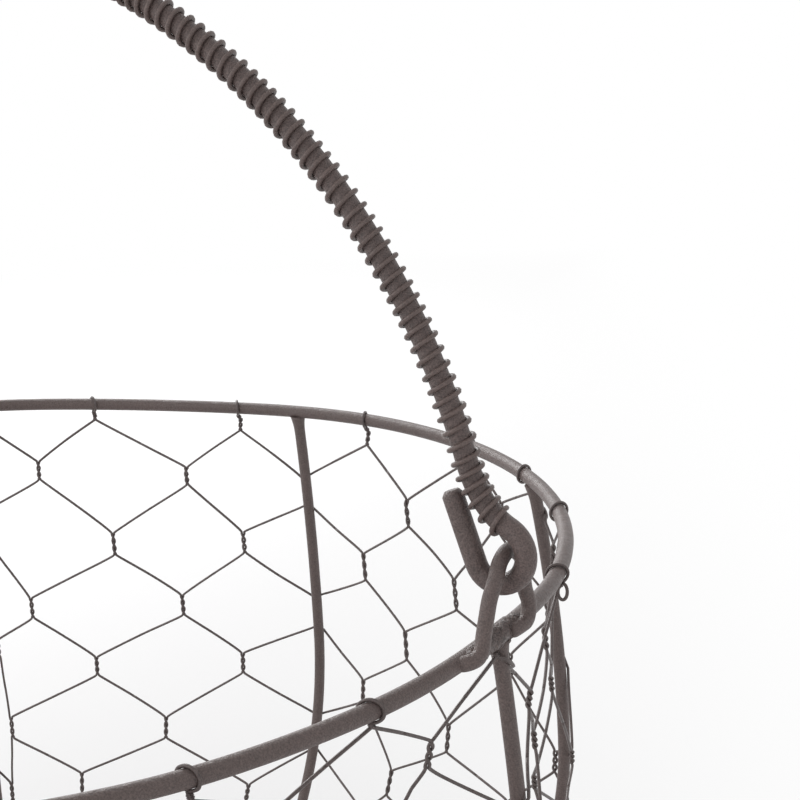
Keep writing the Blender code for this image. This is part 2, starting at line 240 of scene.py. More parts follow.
def wall_table(steps=400):
    """Ribs' centreline as distance from the hoop, radius, height and outward unit direction.

    Above the belly the radius is a parabola of the height. Below it, radius and height follow
    an ellipse for sixty degrees.
    """
    upper = np.linspace(1.0, 0.0, steps + 1)[:-1]
    turn = np.linspace(0.0, LOWER_ARC, steps + 1)
    tall = (WALL_DEPTH - BELLY_DROP) / math.sin(LOWER_ARC)
    wide = (BELLY_RADIUS - BASE_RADIUS) / (1 - math.cos(LOWER_ARC))
    radius = np.concatenate([BELLY_RADIUS - (BELLY_RADIUS - HOOP_RADIUS) * upper ** 2,
                             BELLY_RADIUS - wide * (1 - np.cos(turn))])
    height = np.concatenate([-BELLY_DROP * (1 - upper), -BELLY_DROP - tall * np.sin(turn)])
    line = np.column_stack([radius, height])
    slope = np.gradient(line, axis=0)
    slope /= np.linalg.norm(slope, axis=1)[:, None]
    return lengths(line), radius, HOOP_HEIGHT + height, -slope[:, 1], slope[:, 0]


WALL = wall_table()
WALL_LENGTH = WALL[0][-1]


def rib_bulge(turn, distance):
    """How far one hand-bent rib and the netting over it stand outside the even wall: a bell round that
    rib, times half a sine wave down the wall."""
    bell = np.exp(-((turn - BULGE_TURN) / BULGE_SPREAD) ** 2)
    return BULGE * bell * np.sin(np.pi * np.clip(distance / BULGE_LENGTH, 0, 1))


def on_wall(distance, standoff):
    """Radius and height that far down the wall and that far outside the ribs' centrelines."""
    radius, height, out, up = [np.interp(distance, WALL[0], column) for column in WALL[1:]]
    return radius + standoff * out, height + standoff * up


for number in range(1, RIB_COUNT + 1):
    down = np.linspace(RIB_TOP_DOWN, WALL_LENGTH, 120)
    turn = math.tau * (number - 1) / RIB_COUNT
    radius, height = on_wall(down, rib_bulge(turn, down))
    lean = RIB_LEANS.get(number, 0.0) * np.clip(1 - down / LEAN_LENGTH, 0, 1)
    centre = np.column_stack([radius * math.cos(turn) - lean * math.sin(turn),
                              radius * math.sin(turn) + lean * math.cos(turn), height])
    thick = RIB_WIRE / 2 + RIB_FLARE * np.exp(-(down / RIB_FLARE_LENGTH) ** 2)
    wire = tube(centre, (-math.sin(turn), math.cos(turn), 0), thick[:, None], sides=16)
    rib = add_piece(f"rib_wire_{number}", [wire[None]], frame_coat, "basket")
    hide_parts(f"rib_{number}")


# BAIL EYES
# Each is one 3.3 mm wire bent to a narrow arch that leans a little to one side. Both feet
# are bent the same way along the hoop and welded to its outer side.
EYE_WIRE = 0.0033
EYE_GAP = 0.0003
EYE_RADIUS = HOOP_RADIUS + (HOOP_WIRE + EYE_WIRE) / 2 + EYE_GAP
MILLIMETRE = 0.001
# Bends of the eye's wire from foot to foot, in mm: along the hoop, up from its centreline and out
# from the radius above.
EYE_BENDS = np.array([
    (-16.5, 0, -3.5), (-14, 0.5, -1), (-12, 1.5, -0.5), (-10, 4, -1), (-8.5, 8, -1), (-7, 11.5, -1),
    (-5.5, 15, -0.5), (-2.5, 18, -1), (1, 19.5, -1), (4.5, 18.5, -1), (7, 15.5, -0.5), (7, 12, -0.5),
    (7.5, 8.5, -0.5), (8, 5.5, 0), (8, 3.5, 0), (6.5, 1.5, 0), (4, 1, -0.5), (1.5, 0.5, -1.5)])
END_LOSS_SHARE = 0.55       # of the wire's section, at the very end


def cubic(start, start_way, end, end_way, share):
    """Cubic from start to end that leaves and arrives along the two given ways (Hermite form)."""
    return ((2 * share ** 3 - 3 * share ** 2 + 1) * start + (share ** 3 - 2 * share ** 2 + share) * start_way
            + (3 * share ** 2 - 2 * share ** 3) * end + (share ** 3 - share ** 2) * end_way)


def through(points, steps):
    """Smooth line through all points: between two of them a cubic whose direction at each point is
    that from its neighbour before to its neighbour after, halved (Catmull-Rom form)."""
    way = np.gradient(points, axis=0)[:, None]
    share = np.linspace(0.0, 1.0, steps, endpoint=False)[:, None]
    line = cubic(points[:-1, None], way[:-1], points[1:, None], way[1:], share)
    return np.concatenate([line.reshape(-1, points.shape[1]), points[-1:]])


def eye_path():
    """The eye's centreline: its bends laid along the hoop, smoothed."""
    along, up, out = through(EYE_BENDS, steps=6).T * MILLIMETRE
    radius, turn = EYE_RADIUS + out, along / EYE_RADIUS
    return np.column_stack([radius * np.cos(turn), radius * np.sin(turn), HOOP_HEIGHT + up])


def rounded_ends(rows, reach, thick):
    """Radius along a wire whose first and last few rows close in like a filed end. It goes with the
    square root of the section that is left, whose loss grows as the square towards the end."""
    ends = np.minimum(np.arange(rows), np.arange(rows)[::-1]) / reach
    return thick * np.sqrt(np.clip(1 - np.clip(1 - ends, 0, 1) ** 2 * END_LOSS_SHARE, 0, 1))


for side, turned in (("right", 1), ("left", -1)):
    arch = eye_path() * (turned, turned, 1)
    thick = rounded_ends(len(arch), reach=3, thick=EYE_WIRE / 2)
    wire = tube(arch, (turned, 0, 0), thick[:, None], sides=18)
    eye = add_piece(f"eye_{side}", [wire[None]], frame_coat, "basket")
    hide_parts(f"bail_eye_{side}")


# WELDS
# Short beads of weld metal where each eye's feet and the rib under it meet the hoop,
# left rough under the coat.
WELD_BROWN = (0.100, 0.073, 0.067)
# Each bead: metres along the hoop, out and up from its centreline, half length and half thickness.
BEADS = ((-0.0012, 0.0007, 0.0006, 0.0092, 0.0024), (0.0042, 0.0016, 0.0008, 0.0040, 0.0023),
         (-0.0098, 0.0012, 0.0003, 0.0048, 0.0021), (0.0010, 0.0004, -0.0014, 0.0030, 0.0019))
# A bead's lumps: share of its radius, waves along and round it, and how far the seed shifts them.
BEAD_LUMPS = ((0.045, 9, 3, 1), (0.035, 17, -5, 2), (0.020, 31, 11, 0))
BEAD_SWELL_SHARE = 0.07
BEAD_POLE = 0.04            # angle left open at each pole
BEAD_BLUNTNESS = 0.8        # power of the sine, which is 1 on an ellipsoid


def bead(middle, along, out, length, thick, seed):
    """A rough bead: a blunt ellipsoid of half length and half thickness, its radius raised by one
    broad swell and three sizes of lumps, all sine waves. Rows run from pole to pole, and each pole
    ends in a very small circle."""
    rows, sides = 44, 36
    polar = np.linspace(BEAD_POLE, math.pi - BEAD_POLE, rows)[:, None]
    turn = math.tau * np.arange(sides)[None] / sides
    along, out = np.asarray(along, float), np.asarray(out, float)
    third = np.cross(along, out)
    rough = 1 + BEAD_SWELL_SHARE * np.sin(4 * polar + seed) * np.cos(2 * turn + seed)
    for high, lengthwise, crosswise, shift in BEAD_LUMPS:
        rough = rough + high * np.sin(lengthwise * polar + crosswise * turn + shift * seed)
    ring = np.cos(turn)[..., None] * out + np.sin(turn)[..., None] * third
    return (np.asarray(middle) - length * np.cos(polar)[..., None] * along
            + (thick * rough * np.sin(polar) ** BEAD_BLUNTNESS)[..., None] * ring)


def near_eye(along, out, up, turned):
    """A point near an eye: metres along the hoop, out from its centreline and up from it."""
    turn = along / HOOP_RADIUS
    radius = HOOP_RADIUS + out
    return np.array([turned * radius * math.cos(turn), turned * radius * math.sin(turn), HOOP_HEIGHT + up])


weld_coat = powder_coat("weld_look", WELD_BROWN, roughness=0.42, relief=0.00040, grain=0.0005, speckle=0.70)
beads = [bead(near_eye(along, out, up, turned), (0, turned, 0), (turned, 0, 0), length, thick, number)
         for turned in (1, -1) for number, (along, out, up, length, thick) in enumerate(BEADS, 1)]
add_piece("welds", [np.stack(beads)], weld_coat, "basket")


# BAIL ROD
# One 4.6 mm wire: a half circle over the basket that bends outwards at each end and
# turns up into an open hook, which hangs in its eye. Its cut ends are a little rounded.
BAIL_WIRE = 0.0046
HANDLE_BROWN = (0.118, 0.086, 0.080)
PIVOT_HEIGHT = frame["joints"][0]["pos_m"][2]
BAIL_RADIUS = HOOP_RADIUS
BAIL_DROP = 0.0130                  # the half circle's centre below the hinge axis
BAIL_STEP = 0.0010                  # from one row of points to the next
HOOK_MIDDLE = 0.15115               # the hook's lowest point from the basket's middle
HOOK_INNER = 0.0052                 # radius of the hook's bend towards its tip
HOOK_OUTER = 0.0064                 # and towards the handle
HOOK_TIP_LEAN = math.radians(18.4)
HOOK_TIP_LENGTH = 0.0160
JOIN_ANGLE = math.radians(11.1)     # where the hook's straight run meets the half circle
JOIN_LENGTH = 0.0110                # how far the bend there reaches up the half circle
JOIN_SHARE = 0.95                   # and how much of the straight run it takes up


def arc(centre, radius, start, end, count):
    """Points of a circle from one angle to another: centre + radius * (cos u, sin u)."""
    turn = np.linspace(start, end, count)
    return np.asarray(centre) + radius * np.column_stack([np.cos(turn), np.sin(turn)])


def even(line, step):
    """The same line with points that stand about one step apart along it."""
    distance = lengths(line)
    marks = np.linspace(0.0, distance[-1], int(round(distance[-1] / step)) + 1)
    return np.column_stack([np.interp(marks, distance, column) for column in line.T])


def bail_half():
    """Half of the rod from the hook's tip to the top, as (out, up) from the hinge axis, and the
    length of its hook.

    Two arcs meet at the hook's lowest point, which is on the axis. The outer one leaves along its
    tangent to a corner on the handle's half circle, and a parabola rounds that corner.
    """
    handle_centre, outer_centre = np.array([(0.0, -BAIL_DROP), (HOOK_MIDDLE, HOOK_OUTER)])
    past = JOIN_ANGLE + JOIN_LENGTH / BAIL_RADIUS
    join = handle_centre + BAIL_RADIUS * np.array([math.cos(JOIN_ANGLE), math.sin(JOIN_ANGLE)])
    handle = arc(handle_centre, BAIL_RADIUS, past, math.pi / 2, 160)
    reach = join - outer_centre
    leave = math.atan2(reach[1], reach[0]) - math.acos(HOOK_OUTER / np.linalg.norm(reach))
    inner = arc((HOOK_MIDDLE, HOOK_INNER), HOOK_INNER, -math.pi + HOOK_TIP_LEAN, -math.pi / 2, 24)
    outer = arc(outer_centre, HOOK_OUTER, -math.pi / 2, leave, 32)[1:]
    tip = inner[0] + HOOK_TIP_LENGTH * np.array([-math.sin(HOOK_TIP_LEAN), math.cos(HOOK_TIP_LEAN)])
    hook = np.concatenate([[tip], inner, outer])
    share = np.linspace(0.0, 1.0, 40)[:-1, None]
    start = join + JOIN_SHARE * (outer[-1] - join)
    bend = (1 - share) ** 2 * start + 2 * share * (1 - share) * join + share ** 2 * handle[0]
    return np.concatenate([hook, bend, handle]), lengths(hook)[-1]


half, hook_length = bail_half()
bail_line = even(np.concatenate([half, half[-2::-1] * (-1, 1)]), BAIL_STEP)
bail_path = np.column_stack([bail_line[:, 0], np.zeros(len(bail_line)), PIVOT_HEIGHT + bail_line[:, 1]])
handle_coat = powder_coat("handle_coat_look", HANDLE_BROWN, roughness=0.48, relief=0.00015, speckle=0.50)
thick = rounded_ends(len(bail_path), reach=1, thick=BAIL_WIRE / 2)
wire = tube(bail_path, (0, 1, 0), thick[:, None], sides=24)
bail = add_piece("bail_wire", [wire[None]], handle_coat, "bail")
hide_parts("bail_rod")


# COIL ON THE BAIL
# One long 1.1 mm wire wound open round the bail from hook to hook, about 3 mm from
# turn to turn, and coated together with it.
COIL_WIRE = 0.00108
COIL_BROWN = (0.126, 0.091, 0.083)
COIL_PITCH = 0.00298
COIL_START = 0.0018         # first turn past the hook's end
COIL_GAP = 0.00002
POINTS_PER_TURN = 22
# Unevenness of the winding: share of a turn, metres along the bail and shift.
COIL_WAVES = ((0.10, 0.0071, 0.0), (0.06, 0.0029, 1.0))


def coil_path():
    """A helix round the bail: bail + radius * (cos u * side + sin u * y), where u grows by one turn
    for each pitch along the bail, give or take the waves. The bail's direction comes with it."""
    distance = lengths(bail_line)
    start = hook_length + COIL_START
    turns = (distance[-1] - 2 * start) / COIL_PITCH
    marks = np.linspace(start, distance[-1] - start, int(turns * POINTS_PER_TURN))
    middle = np.column_stack([np.interp(marks, distance, column) for column in bail_line.T])
    ahead = np.gradient(middle, axis=0)
    ahead /= np.linalg.norm(ahead, axis=1)[:, None]
    wave = sum(share * np.sin(marks / long + shift) for share, long, shift in COIL_WAVES)
    turn = -math.tau * ((marks - start) / COIL_PITCH + wave)
    radius = (BAIL_WIRE + COIL_WIRE) / 2 + COIL_GAP
    side = radius * np.cos(turn)
    return np.column_stack([middle[:, 0] - side * ahead[:, 1], radius * np.sin(turn),
                            PIVOT_HEIGHT + middle[:, 1] + side * ahead[:, 0]]), ahead


winding, ahead = coil_path()
along_bail = np.column_stack([ahead[:, 0], np.zeros(len(ahead)), ahead[:, 1]])
wire = tube(winding, along_bail, COIL_WIRE / 2, sides=8)
coil_coat = powder_coat("winding_look", COIL_BROWN, roughness=0.44, relief=0.00005)
coil = add_piece("bail_winding", [wire[None]], coil_coat, "bail")
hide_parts("bail_coil")


# WALL NETTING
# Hexagonal netting of 0.8 mm wire, its neighbours twisted together in pairs, laid round
# the outside of the ribs and stretched nearly flat from each rib to the next.
NET_WIRE = 0.0008
NET_BROWN = (0.100, 0.077, 0.073)
NET_ROW_DOWN = np.array([0.0, 0.0175, 0.0400, 0.0625, 0.0850, 0.1075, 0.1320, WALL_LENGTH])
NET_STANDOFF = 0.00265      # the netting's middle outside the ribs' centrelines
NET_RISE_START = 0.0020     # where it starts to stand off, from either hoop
NET_RISE_LENGTH = 0.0025    # and over what length it gets there
NET_FLAT_DOWN = 0.022       # from how far off either hoop its panels are flat
NET_BOW = 0.0009            # slopes outwards, half-way between two ribs
NET_PULL = 0.00045          # slopes inwards, on a rib
NET_SCATTER = 0.0006        # how far twists stray from their even places
PAIR_LENGTH = 0.0068
PAIR_LENGTH_SHARE = 0.15    # by which the pairs' lengths vary
PAIR_HALF_TURNS = 3
PAIR_STRAND = 0.00042       # each wire from the pair's middle
PAIR_WAY_DOWN = 0.0011      # how a wire leaves its pair: on down the wall
PAIR_WAY_OUT = 0.0010       # and outwards or inwards
LIFT_GAP = 0.0001           # netting over a rib: the least gap
LIFT_WIDTH_SHARE = 1.7      # the lift's width against its height
LIFT_CLEARS_HOOP = 0.004    # and how far below the hoop it starts
AROUND = math.tau * HOOP_RADIUS

# The netting hangs from ties round the hoop. Those in the photo come first, in degrees, and the
# others stand at even steps up to the one opposite the right eye and from there round to the first.
SEEN_TIES = (-30.8, -15.8, -1.2, 15.5, 33.7, 47.3, 60.2, 79.0, 98.0, 117.2)
OPPOSITE_TIE = 180.0
TIE_TURNS = np.radians(np.concatenate([
    SEEN_TIES, np.linspace(SEEN_TIES[-1], OPPOSITE_TIE, 5)[1:],
    np.linspace(OPPOSITE_TIE, SEEN_TIES[0] + 360, 10)[1:-1]]))
TIE_GAP = 0.00003
TIE_DEGREES = (-80, -440)   # from under the hoop once round it
TIE_SWING = 0.00133         # the wire along the hoop to both sides, on its way round
TIE_SHIFT = 0.00057         # the knot along the hoop from the tie's own angle
TIE_DOWN = 0.0031           # the knot below the hoop's centreline, before its stem's length
TIE_PULL_SHARE = 0.4        # how much of a taut slope's way the stem's end takes on
STEM_TOP = 0.0029           # where a stem starts, below the hoop's centreline
STEM_LENGTH = 0.0020
STEM_SHARES = (0.0, 1.5)    # shortest and longest unseen stem under the top hoop
STEM_WAY = 0.0010           # how a stem's wires run on down the wall before they turn
# Lengths of the stems in the photo, by the tie's number.
SEEN_STEMS = {1: 0.0, 2: 0.0, 3: 0.0003, 6: 0.0008, 7: 0.0052, 8: 0.0049, 9: 0.0023}

# The camera as fitted to the photo: place, turns, lens and width of the picture in mm and in pixels.
CAMERA_PLACE = np.array([0.307345, -0.293194, 0.289965])
CAMERA_TURNS = [math.radians(turn) for turn in (76.2511, 2.9975, 30.4113)]
CAMERA_LENS = 78.03
CAMERA_WIDTH = 36.0
PICTURE_PIXELS = 800
# Twists as the photo shows them: row, number in the row, pixels from the left, and down to both ends.
SEEN_TWISTS = np.array([
    (1, 1, 429.5, 742, 767), (1, 6, 408, 500, 527), (1, 7, 305, 478, 505), (1, 8, 187, 467, 485),
    (1, 9, 39, 462, 480), (2, 6, 455.3, 580, 610), (2, 7, 364.5, 554, 580), (2, 8, 244, 532, 553),
    (2, 9, 114, 533, 555), (3, 6, 406, 632, 660), (3, 7, 316, 597, 626), (3, 8, 183, 595, 615),
    (3, 9, 32, 598, 618), (4, 6, 447.5, 724, 753), (4, 7, 363, 680, 702), (4, 8, 243, 653, 673),
    (4, 9, 97, 657, 675), (5, 6, 389, 769, 797), (5, 7, 316, 715, 748), (5, 8, 166, 717, 738),
    (5, 9, 12, 717, 738), (6, 9, 82, 773, 795), (2, 2, 520, 811, 834)])
# Twists on the near right, where the wall is seen from its side: row, number, degrees round, pixels.
SIDE_TWISTS = np.array([
    (1, 2, 7, 529.8, 690, 707), (1, 3, 24, 546, 627, 649), (2, 3, 15, 534.5, 731, 748),
    (2, 4, 33, 551.5, 676, 691), (3, 3, 24, 534.5, 775, 788), (3, 4, 41.5, 572, 750, 763)])


def stretched(places):
    """Points in space of places on the netting: metres along the hoop, down the wall and out.

    In line with a rib the netting stands outside it. Between two ribs its radius is that times
    cos h / cos v, where h is half the angle between ribs and v the angle from the middle of the
    panel, which is a flat panel. Towards both hoops this fades evenly to a round wall, and close
    to them the wall comes in to the hoop's own wire.
    """
    along, down, out = np.moveaxis(places, -1, 0)
    turn = along / HOOP_RADIUS
    from_hoop = np.minimum(down, WALL_LENGTH - down)
    rise = np.clip((from_hoop - NET_RISE_START) / NET_RISE_LENGTH, 0, 1)
    radius, height = on_wall(down, NET_STANDOFF * rise + rib_bulge(turn, down) + out)
    half_panel = math.pi / RIB_COUNT
    off_middle = np.mod(turn, 2 * half_panel) - half_panel
    flat = np.clip(from_hoop / NET_FLAT_DOWN, 0, 1)
    radius = radius * (1 + flat * (math.cos(half_panel) / np.cos(off_middle) - 1))
    return np.stack([radius * np.cos(turn), radius * np.sin(turn), height], axis=-1)


def in_picture(points):
    """Where the camera sees points, in pixels from the picture's left and top edges."""
    axes = np.array(mathutils.Euler(CAMERA_TURNS).to_matrix())
    right, up, back = np.moveaxis((points - CAMERA_PLACE) @ axes, -1, 0)
    scale = PICTURE_PIXELS * CAMERA_LENS / CAMERA_WIDTH / -back
    return np.stack([PICTURE_PIXELS / 2 + scale * right, PICTURE_PIXELS / 2 - scale * up], axis=-1)


def found(places, pixels, free):
    """Places on the netting, moved in their two free coordinates until the camera sees them at the
    given pixels. Each of ten rounds is one Newton step on the projection."""
    places = places.copy()
    nudge = 0.000001
    for _ in range(10):
        seen = in_picture(stretched(places))
        nudged = [in_picture(stretched(places + nudge * np.eye(3)[which])) for which in free]
        slopes = (np.stack(nudged, axis=-1) - seen[..., None]) / nudge
        places[:, free] += np.linalg.solve(slopes, (pixels - seen)[..., None])[..., 0]
    return places


def neighbours(places, row):
    """The places of the next row up or down that stand left and right of each place of this row."""
    forward = np.roll(places, -1, axis=0)
    forward[-1, 0] += AROUND
    backward = np.roll(places, 1, axis=0)
    backward[0, 0] -= AROUND
    return (places, forward) if row % 2 else (backward, places)


def knots():
    """Upper and lower end of every twist as (row, number, (along, down, out)).

    Even rows stand in line with the ties and odd rows half-way between, each a little scattered,
    and the twists seen in the photo are then put where they are. A tie's own stem counts as row 0,
    and the last row is the stems at the bottom hoop.
    """
    count, rows = len(TIE_TURNS), len(NET_ROW_DOWN)
    chance = np.random.default_rng(seed=5)
    ties = np.column_stack([TIE_TURNS * HOOP_RADIUS, np.zeros((count, 2))])
    half_on = (ties + neighbours(ties, 1)[1]) / 2
    middle = np.stack([half_on if row % 2 else ties for row in range(rows)])
    middle[..., 1] += NET_ROW_DOWN[:, None]
    middle[1:-1, :, :2] += chance.normal(0.0, NET_SCATTER, (rows - 2, count, 2))
    length = PAIR_LENGTH * chance.uniform(1 - PAIR_LENGTH_SHARE, 1 + PAIR_LENGTH_SHARE, (rows, count))
    for twists, free in ((SEEN_TWISTS, [0, 1]), (SIDE_TWISTS, [1, 2])):
        row, number = twists[:, :2].astype(int).T
        start = middle[row, number]
        if twists is SIDE_TWISTS:
            start[:, 0] = np.radians(twists[:, 2]) * HOOP_RADIUS
        upper, lower = [found(start, twists[:, [-3, end]], free) for end in (-2, -1)]
        middle[row, number] = (upper + lower) / 2
        length[row, number] = (lower - upper)[:, 1]
    stems = STEM_LENGTH * chance.uniform(*STEM_SHARES, count)
    stems[list(SEEN_STEMS)] = list(SEEN_STEMS.values())
    length[0], length[-1] = 2 * stems, 2 * STEM_LENGTH
    middle[0, :, 1] += TIE_DOWN
    middle[[0, -1], :, 0] += TIE_SHIFT
    half = length[..., None] / 2 * (0, 1, 0)
    return middle - half, middle + half


tops, bottoms = knots()


def lifted(points):
    """The same points, where one would lie in a rib moved straight out on to it. Round each rib the
    least radius is the rib's own plus a half ellipse as high as both wires' radii and the gap."""
    radius, turn = np.hypot(points[..., 0], points[..., 1]), np.arctan2(points[..., 1], points[..., 0])
    spacing = math.tau / RIB_COUNT
    off = radius * (np.mod(turn + spacing / 2, spacing) - spacing / 2)
    high = (RIB_WIRE + NET_WIRE) / 2 + LIFT_GAP
    rib = np.interp(-points[..., 2], -WALL[2], WALL[1])
    least = rib + np.sqrt(np.clip(high ** 2 - (off / LIFT_WIDTH_SHARE) ** 2, 0.0, None))
    inside = (np.abs(off) < LIFT_WIDTH_SHARE * high) & (radius < least)
    scale = np.where(inside & (points[..., 2] < HOOP_HEIGHT - LIFT_CLEARS_HOOP), least / radius, 1.0)
    return points * np.stack([scale, scale, np.ones_like(scale)], axis=-1)


def slope_middle(one, other):
    """Middle of a slope. It is bowed outwards between two ribs and pulled in on to a rib, as the square
    of the sine of its place in the panel."""
    middle = (one + other) / 2
    bow = (NET_BOW + NET_PULL) * np.sin(middle[..., 0] / HOOP_RADIUS * RIB_COUNT / 2) ** 2 - NET_PULL
    return middle + bow[..., None] * (0.0, 0.0, 1.0)


def curves(start, start_way, end, end_way, share):
    """The same cubic as the eyes' for many wires at once, as (wires, steps, 3)."""
    ends_and_ways = [part[..., None, :] for part in (start, start_way, end, end_way)]
    return cubic(*ends_and_ways, share[:, None])


def wound(start, end, side, count):
    """A wire that winds round the line from start to end: the line plus a * (-side cos u) along the
    hoop and a * (side sin u) outwards, where u runs through three half turns."""
    share = np.linspace(0.0, 1.0, count)[:, None]
    turn = share[:, 0] * PAIR_HALF_TURNS * math.pi
    off = np.column_stack([-np.cos(turn), 0 * turn, np.sin(turn)]) * side * PAIR_STRAND
    return start[:, None] * (1 - share) + end[:, None] * share + off


def strands(row, side):
    """One wire of each twisted pair of a row, from the middle of the slope above to that below.

    Cubic curves carry the wound part on to both slopes, which follow the wall. The slopes that hang
    from the hoop are taut instead, each along the straight line between its two knots. Side is 1 for
    the wire that comes from the left and -1 for the one from the right.
    """
    above = neighbours(bottoms[row - 1], row)[0 if side > 0 else 1]
    below = neighbours(tops[row + 1], row)[1 if side > 0 else 0]
    pair = wound(tops[row], bottoms[row], side, 6 * PAIR_HALF_TURNS + 1)
    way = np.array([0.0, PAIR_WAY_DOWN, side * PAIR_WAY_OUT])
    steps = 10
    share = np.linspace(0.0, 1.0, steps + 1)
    first = curves(slope_middle(tops[row], above), (tops[row] - above) / 2, pair[:, 0], way, share[:-1])
    final = curves(pair[:, -1], way * (1, 1, -1), slope_middle(bottoms[row], below),
                   (below - bottoms[row]) / 2, share[1:])
    centre = stretched(np.concatenate([first, pair, final], axis=1))
    if row == 1:
        start, end = stretched(above), stretched(tops[row])
        here, after = centre[:, steps], centre[:, steps + 1]
        centre[:, :steps] = curves((start + end) / 2, (end - start) / 2, here, (after - here) * 2, share[:-1])
    centre = lifted(centre)
    return tube(centre, centre * (1, 1, 0), NET_WIRE / 2, sides=6)


def loops(row, ring_radius, ring_height, ring_wire):
    """The wire that ties the netting to a hoop: up one slope, round the hoop and down the next.

    Round the top hoop it is centre + c * (cos u * out + sin u * up) + swing * cos u * along, while
    u falls by a whole turn from under the hoop through its inner side, top and outer side. Round the
    bottom hoop it is the same upside down. Between the hoop and the slopes both halves are wound
    into a short stem.
    """
    at_top = row == 0
    sign = 1 if at_top else -1
    here, beyond = (bottoms[row], tops[row + 1]) if at_top else (tops[row], bottoms[row - 1])
    left, right = neighbours(beyond, row)
    stem_start = here * (1, 0, 1) + (0.0, STEM_TOP if at_top else WALL_LENGTH - STEM_TOP, 0.0)
    turn = here[:, 0] / HOOP_RADIUS
    out = np.column_stack([np.cos(turn), np.sin(turn), 0 * turn])[:, None]
    along = np.column_stack([-np.sin(turn), np.cos(turn), 0 * turn])[:, None]
    around = np.radians(np.linspace(*TIE_DEGREES, 32))[:, None]
    reach = (ring_wire + NET_WIRE) / 2 + TIE_GAP
    ring = (ring_radius * out + np.array([0, 0, ring_height])
            + reach * (np.cos(around) * out + np.sin(around) * np.array([0.0, 0.0, sign]))
            + TIE_SWING * np.cos(around) * along)
    ring[..., 2] = np.maximum(ring[..., 2], NET_WIRE / 2)
    share = np.linspace(0.0, 1.0, 12)[1:]
    halves = []
    for side, knot in ((-1, right), (1, left)):
        stem = wound(stem_start, here, side, 10)
        way = (knot - here) / 4 + (0.0, STEM_WAY * sign, 0.0)
        slope = stretched(curves(stem[:, -1], way, slope_middle(here, knot), (knot - here) / 2, share))
        stem = stretched(stem)
        if at_top:
            start, end = stretched(here), stretched(knot)
            taut = end - start
            slope = curves(stem[:, -1], taut * TIE_PULL_SHARE, start + taut / 2, taut / 2, share)
        halves.append(lifted(np.concatenate([stem, slope], axis=1)))
    centre = np.concatenate([halves[0][:, ::-1], ring, halves[1]], axis=1)
    return tube(centre, along, NET_WIRE / 2, sides=6)


# The curl: which tie, then metres out from the hoop, below it, half as wide, half as tall and along.
CURL_TIE = 3
CURL_OUT = 0.0013
CURL_DOWN = 0.0040
CURL_WIDE = 0.0010
CURL_TALL = 0.0018
CURL_ALONG = 0.0007
CURL_DEGREES = (100, -280)


def curl():
    """The cut end of one tie, curled to an oval turn that hangs outside the hoop's lower edge: out and
    up follow an ellipse for a little more than a turn while the wire moves along the hoop."""
    around = np.radians(np.linspace(*CURL_DEGREES, 40))
    turn = TIE_TURNS[CURL_TIE] - np.linspace(-CURL_ALONG, CURL_ALONG, len(around)) / HOOP_RADIUS
    radius = HOOP_RADIUS + CURL_OUT + CURL_WIDE * np.cos(around)
    height = HOOP_HEIGHT - CURL_DOWN + CURL_TALL * np.sin(around)
    centre = np.column_stack([radius * np.cos(turn), radius * np.sin(turn), height])
    return tube(centre[None], centre * (1, 1, 0), NET_WIRE / 2, sides=8)


# The bottom hoop, which the netting is tied to as well.
BASE_WIRE = 0.0038
BASE_HOOP_RADIUS = 0.120172
BASE_HOOP_HEIGHT = BASE_WIRE / 2
BASE_TIE_RAISE = 0.0003     # ties' middle above the bottom hoop's, clear of the table

net_coat = powder_coat("netting_look", NET_BROWN, roughness=0.42, relief=0.00004)
last_row = len(NET_ROW_DOWN) - 1
wires = [strands(row, side) for row in range(1, last_row) for side in (1, -1)]
wires.append(loops(0, HOOP_RADIUS, HOOP_HEIGHT, HOOP_WIRE))
wires.append(loops(last_row, BASE_HOOP_RADIUS, BASE_HOOP_HEIGHT + BASE_TIE_RAISE, BASE_WIRE))
wires.append(curl())
netting = add_piece("netting_round_wall", wires, net_coat, "basket")
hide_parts("wall_netting")


# BOTTOM
# A smaller hoop outside the ribs' lower ends, one rod across it and two half rods, all
# welded. Netting like the wall's lies on the rods, its cut edge turned in along a circle.
ROD_WIRE = 0.0034
ROD_TURN = math.radians(22.5)
ROD_HEIGHT = 0.0022
ROD_SINK = 0.0002           # rods' ends into the hoop
ROD_FLARE = 0.0004          # what the weld adds to a rod's radius
ROD_FLARE_LENGTH = 0.003
HALF_ROD_START = 0.0015     # half rods' ends from the middle of the long rod
BASE_NET_HEIGHT = 0.0048
BASE_NET_RADIUS = 0.1150
BASE_NET_MARGIN = 0.003     # how far inside the edge a wire must reach to be kept

ring = tube(circle(BASE_HOOP_RADIUS, BASE_HOOP_HEIGHT, count=360), (0, 0, 1), BASE_WIRE / 2, sides=20,
            closed=True)
bottom_hoop = add_piece("bottom_hoop", [ring[None]], frame_coat, "basket", closed=True)
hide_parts("base_ring")

rod_end = BASE_HOOP_RADIUS - BASE_WIRE / 2 + ROD_SINK
rods = (("long", -rod_end, 0), ("short_1", HALF_ROD_START, 1), ("short_2", HALF_ROD_START, -1))
for name, start, quarters in rods:
    reach = np.linspace(start, rod_end, 60)
    turn = ROD_TURN + quarters * math.pi / 2
    centre = reach[:, None] * (math.cos(turn), math.sin(turn), 0.0) + (0, 0, ROD_HEIGHT)
    thick = ROD_WIRE / 2 + ROD_FLARE * np.exp(-((rod_end - np.abs(reach)) / ROD_FLARE_LENGTH) ** 2)
    wire = tube(centre, (0, 0, 1), thick[:, None], sides=16)
    rod = add_piece(f"bottom_rod_{name}", [wire[None]], frame_coat, "basket")
    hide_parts(f"base_rod_{name}")


